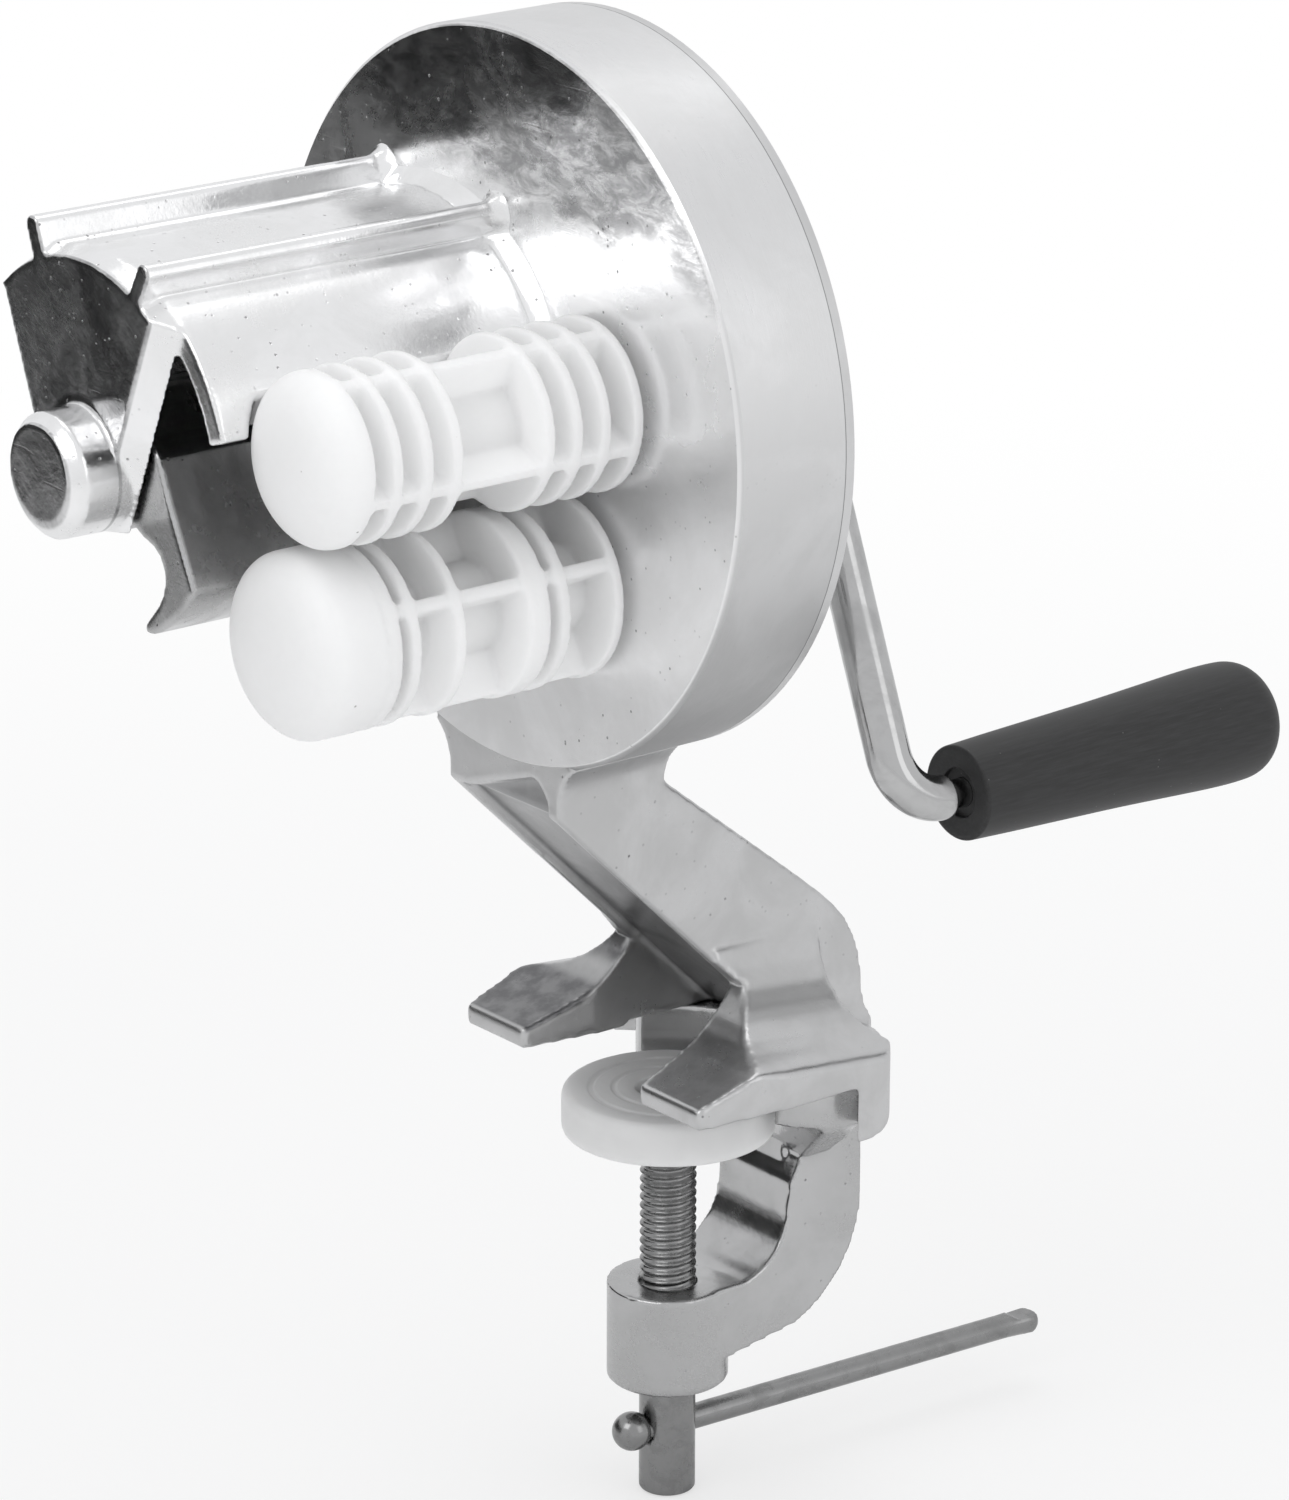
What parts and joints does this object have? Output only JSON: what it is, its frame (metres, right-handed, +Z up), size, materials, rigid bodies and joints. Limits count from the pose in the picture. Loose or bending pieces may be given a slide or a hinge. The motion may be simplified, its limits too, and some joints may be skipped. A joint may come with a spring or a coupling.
{
  "type": "hand cranked pasta forming machine",
  "caption": "Hand cranked pasta forming machine: round gear case, geared feed rollers, hooked forming rotor under a ribbed shell, crank with tapered grip, and a forked screw clamp for a table.",
  "frame": {"origin": "on the clamp screw's axis, in the plane of the fork's undersides, where the table top lies", "axes": "+Z up along the clamp screw; -Y towards the rollers and the forming shell, +Y towards the crank; +X to the right seen from the roller side"},
  "size_m": [0.1527, 0.2399, 0.323],
  "materials": {
    "cast_metal": "polished casting with fine pits",
    "cover_metal": "satin sheet",
    "rotor_metal": "satin casting",
    "shaft_steel": "turned",
    "gear_steel": "cut and oiled",
    "bush_bronze": "turned",
    "screw_steel": "bright",
    "small_steel": "plated",
    "crank_chrome": "plated",
    "roller_plastic": "milky, soft sheen",
    "pad_plastic": "milky, soft sheen",
    "grip_plastic": "satin black"
  },
  "bodies": {
    "frame": {"gear_case": "cast_metal", "forming_shell": "cast_metal", "clamp_stand": "cast_metal", "rear_cover": "cover_metal", "cover_screws": "small_steel", "rotor_bush_inner": "bush_bronze", "rotor_bush_outer": "bush_bronze", "rotor_bush_rear": "bush_bronze", "drive_bush_front": "bush_bronze", "drive_bush_rear": "bush_bronze", "idler_bush_front": "bush_bronze", "idler_bush_rear": "bush_bronze", "c_bracket": "cast_metal"},
    "crank": {"drive_shaft": "shaft_steel", "drive_gear": "gear_steel", "drive_pin": "small_steel", "upper_roller": "roller_plastic", "crank_collar": "crank_chrome", "collar_screws": "small_steel", "crank_rod": "crank_chrome", "grip_washer": "small_steel", "grip_nut": "small_steel"},
    "grip": {"crank_grip": "grip_plastic"},
    "idler": {"idler_shaft": "shaft_steel", "idler_gear": "gear_steel", "idler_pin": "small_steel", "lower_roller": "roller_plastic"},
    "rotor": {"forming_rotor": "rotor_metal", "rotor_shaft": "shaft_steel", "rotor_gear": "gear_steel", "rotor_pin": "small_steel"},
    "pad": {"clamp_pad": "pad_plastic"},
    "screw": {"clamp_screw": "screw_steel", "pad_clip": "small_steel"},
    "bar": {"tommy_bar": "screw_steel"}
  },
  "joints": [
    {"name": "crank_turn", "type": "hinge", "parent": "frame", "child": "crank", "pos_m": [0.03106, 0, 0.15503], "axis": [0, 1, 0], "continuous": true},
    {"name": "grip_turn", "type": "hinge", "parent": "crank", "child": "grip", "pos_m": [0.06504, 0, 0.07007], "axis": [0, 1, 0], "continuous": true},
    {"name": "idler_turn", "type": "hinge", "parent": "frame", "child": "idler", "pos_m": [0.02397, 0, 0.11668], "axis": [0, 1, 0], "continuous": true},
    {"name": "rotor_turn", "type": "hinge", "parent": "frame", "child": "rotor", "pos_m": [-0.022, 0, 0.145], "axis": [0, 1, 0], "continuous": true},
    {"name": "pad_lift", "type": "slide", "parent": "frame", "child": "pad", "axis": [0, 0, 1], "range_m": [-0.0201, 0.0061]},
    {"name": "screw_turn", "type": "hinge", "parent": "pad", "child": "screw", "pos_m": [0, 0, -0.08], "axis": [0, 0, 1], "range_deg": [-3600, 1080]},
    {"name": "bar_slide", "type": "slide", "parent": "screw", "child": "bar", "axis": [0.061, 0.9981, 0], "range_m": [-0.078, 0]}
  ],
  "couplings": [
    {"joint": "idler_turn", "follows": "crank_turn", "ratio": -1},
    {"joint": "rotor_turn", "follows": "crank_turn", "ratio": -0.56522},
    {"joint": "pad_lift", "follows": "screw_turn", "m_per_rad": 0.00031831}
  ]
}
